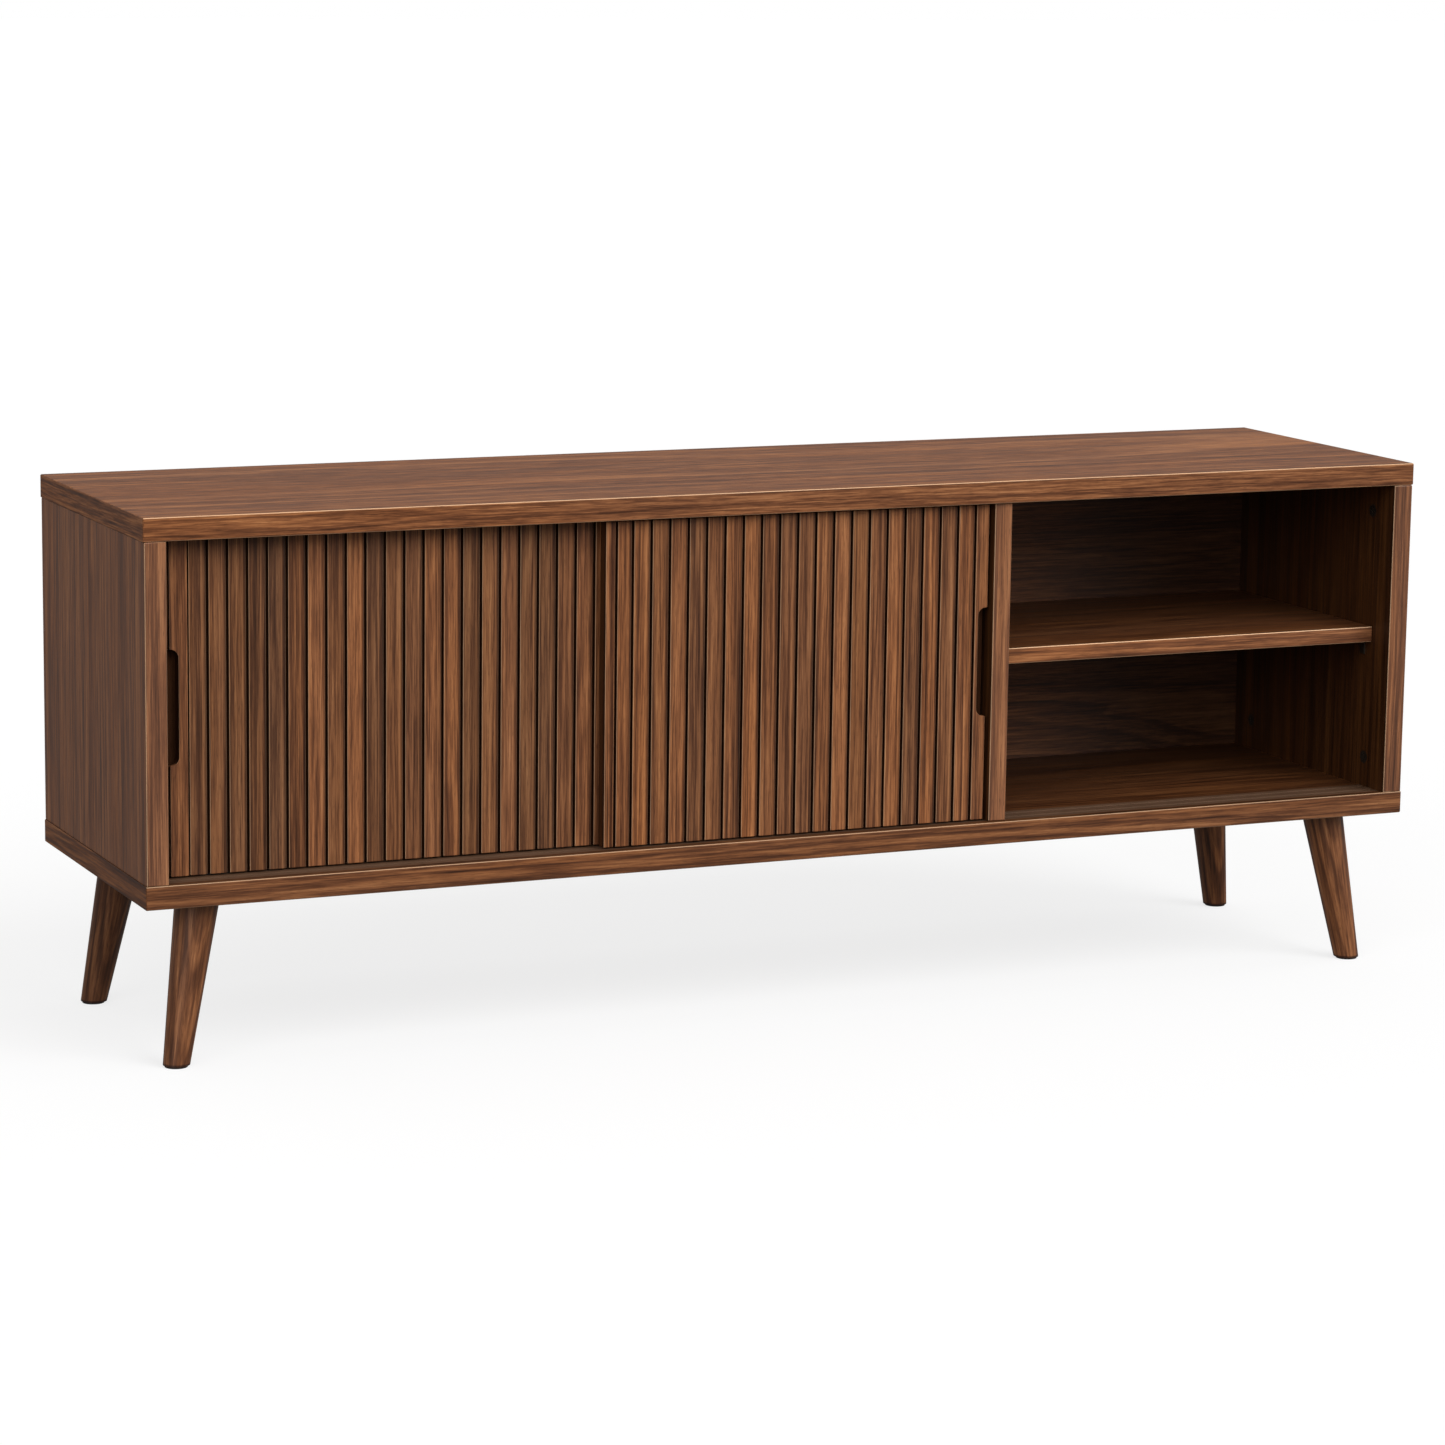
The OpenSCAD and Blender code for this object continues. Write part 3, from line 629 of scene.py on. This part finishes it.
def make_legs():
    """Each leg's grain runs along its own axis, and the back legs are darkened as painted shade."""
    for number, corner in enumerate(("front_left", "front_right", "back_left", "back_right")):
        foot = Vector(mounts[f"foot_{corner}"]["pos_m"])
        low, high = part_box(f"leg_plate_{corner}")
        axis = (low + high) / 2 - foot
        turn = 0.4 * number
        # The back legs' lower tone is painted shade.
        leg = walnut(
            f"walnut_leg_{corner}", "Z", (turn, 0.2, 1.7 * turn), rings=150,
            pith=(foot.x + turn, foot.y + 0.3), wave=0.2, figured=0.7, streaky=1.15, fibrous=0.4,
            runs=1.6, tone=0.88 if "front" in corner else 0.6, level=0.28, gloss=0.36, banded=False,
            lean=(axis.x / axis.z, axis.y / axis.z), foot_shade_height=foot.z + FOOT_SHADE_HEIGHT,
        )
        paint([f"leg_{corner}"], leg)
        round_edges(nodes[f"leg_{corner}"], FOOT_EDGE, segments=3)


def make_fittings():
    """Tracks, glides, screws, plates, rings and pads, by the name of the CAD material."""
    finishes = {
        "zinc": metal("zinc", (0.62, 0.62, 0.6), 0.38),
        "dark_zinc": metal("dark_zinc", (0.13, 0.105, 0.085), 0.5),
        "black_plastic": moulded("black_plastic", (0.033, 0.027, 0.022), 0.62),
        "track_plastic": moulded("track_plastic", (0.115, 0.058, 0.030), 0.55),
        "bumper_rubber": moulded("bumper_rubber", (0.045, 0.04, 0.036), 0.8),
        "beech": beech(),
    }
    for node in nodes.values():
        name = node.material_slots[0].material.name.split(".")[0]
        if name in finishes:
            node.material_slots[0].material = finishes[name]


# ---------------------------------------------------------------- studio

FLOOR_REACH = 40
FLOOR_COLOUR = (0.24, 0.24, 0.24, 1)
FLOOR_GLOW = 0.755
WHITE = (1, 1, 1, 1)

# Strength of the light from all round, above and below the horizon, and between which heights of
# its direction it goes from one to the other.
SKY = 0.34
GROUND = 0.16
HORIZON = (-0.25, 0.15)

# Name, strength, elevation, azimuth and spread in degrees.
SUNS = [
    ("key", 2.15, 36, 30, 45),
    ("fill", 1.2, 28, -40, 50),
    ("top", 0.25, 75, 180, 60),
    ("right", 0.5, 25, 85, 50),
]


def add_floor():
    """A plain white floor far wider than the cabinet."""
    mesh = bpy.data.meshes.new("floor")
    ways = ((-1, -1), (1, -1), (1, 1), (-1, 1))
    corners = [(x * FLOOR_REACH, y * FLOOR_REACH, 0) for x, y in ways]
    mesh.from_pydata(corners, [], [(0, 1, 2, 3)])
    floor = bpy.data.objects.new("floor", mesh)
    bpy.context.scene.collection.objects.link(floor)
    g = Graph("floor_white")
    material = g.finish(FLOOR_COLOUR, 0.9, Specular_IOR_Level=0.0)
    shader = next(n for n in material.node_tree.nodes if n.type == "BSDF_PRINCIPLED")
    shader.inputs["Emission Color"].default_value = WHITE
    shader.inputs["Emission Strength"].default_value = FLOOR_GLOW
    mesh.materials.append(material)
    floor.visible_diffuse = False
    floor.visible_glossy = False


def world_strength(tree):
    """Light from all round, weaker from below, where the floor would be."""
    place = tree.nodes.new("ShaderNodeTexCoord")
    split = tree.nodes.new("ShaderNodeSeparateXYZ")
    tree.links.new(place.outputs["Generated"], split.inputs[0])
    blend = tree.nodes.new("ShaderNodeMapRange")
    for socket, value in zip(blend.inputs[1:], (*HORIZON, GROUND, SKY)):
        socket.default_value = value
    tree.links.new(split.outputs[2], blend.inputs[0])
    return blend.outputs[0]


def add_sun(name, strength, elevation, azimuth, spread):
    """A soft sun shining from azimuth (0 is the front, positive to the right) and elevation."""
    data = bpy.data.lights.new(name, "SUN")
    data.energy = strength
    data.angle = math.radians(spread)
    light = bpy.data.objects.new(name, data)
    bpy.context.scene.collection.objects.link(light)
    direction = Vector((
        math.sin(math.radians(azimuth)) * math.cos(math.radians(elevation)),
        -math.cos(math.radians(azimuth)) * math.cos(math.radians(elevation)),
        math.sin(math.radians(elevation)),
    ))
    light.rotation_mode = "QUATERNION"
    light.rotation_quaternion = direction.to_track_quat("Z", "Y")


def add_world():
    """White surroundings, which the camera sees at full strength."""
    world = bpy.data.worlds.new("studio")
    bpy.context.scene.world = world
    world.use_nodes = True
    tree = world.node_tree
    tree.nodes.clear()
    seen = tree.nodes.new("ShaderNodeBackground")
    seen.inputs["Strength"].default_value = 1.0
    lit = tree.nodes.new("ShaderNodeBackground")
    tree.links.new(world_strength(tree), lit.inputs["Strength"])
    path = tree.nodes.new("ShaderNodeLightPath")
    mix = tree.nodes.new("ShaderNodeMixShader")
    output = tree.nodes.new("ShaderNodeOutputWorld")
    tree.links.new(path.outputs["Is Camera Ray"], mix.inputs[0])
    tree.links.new(lit.outputs[0], mix.inputs[1])
    tree.links.new(seen.outputs[0], mix.inputs[2])
    tree.links.new(mix.outputs[0], output.inputs[0])
    for background in (seen, lit):
        background.inputs["Color"].default_value = WHITE


def add_lights():
    """Surroundings, suns and the plain view transform."""
    add_world()
    for sun in SUNS:
        add_sun(*sun)
    bpy.context.scene.view_settings.view_transform = "Standard"
    bpy.context.scene.view_settings.look = "None"


add_camera()
make_case()
make_doors()
make_legs()
make_fittings()
add_floor()
add_lights()
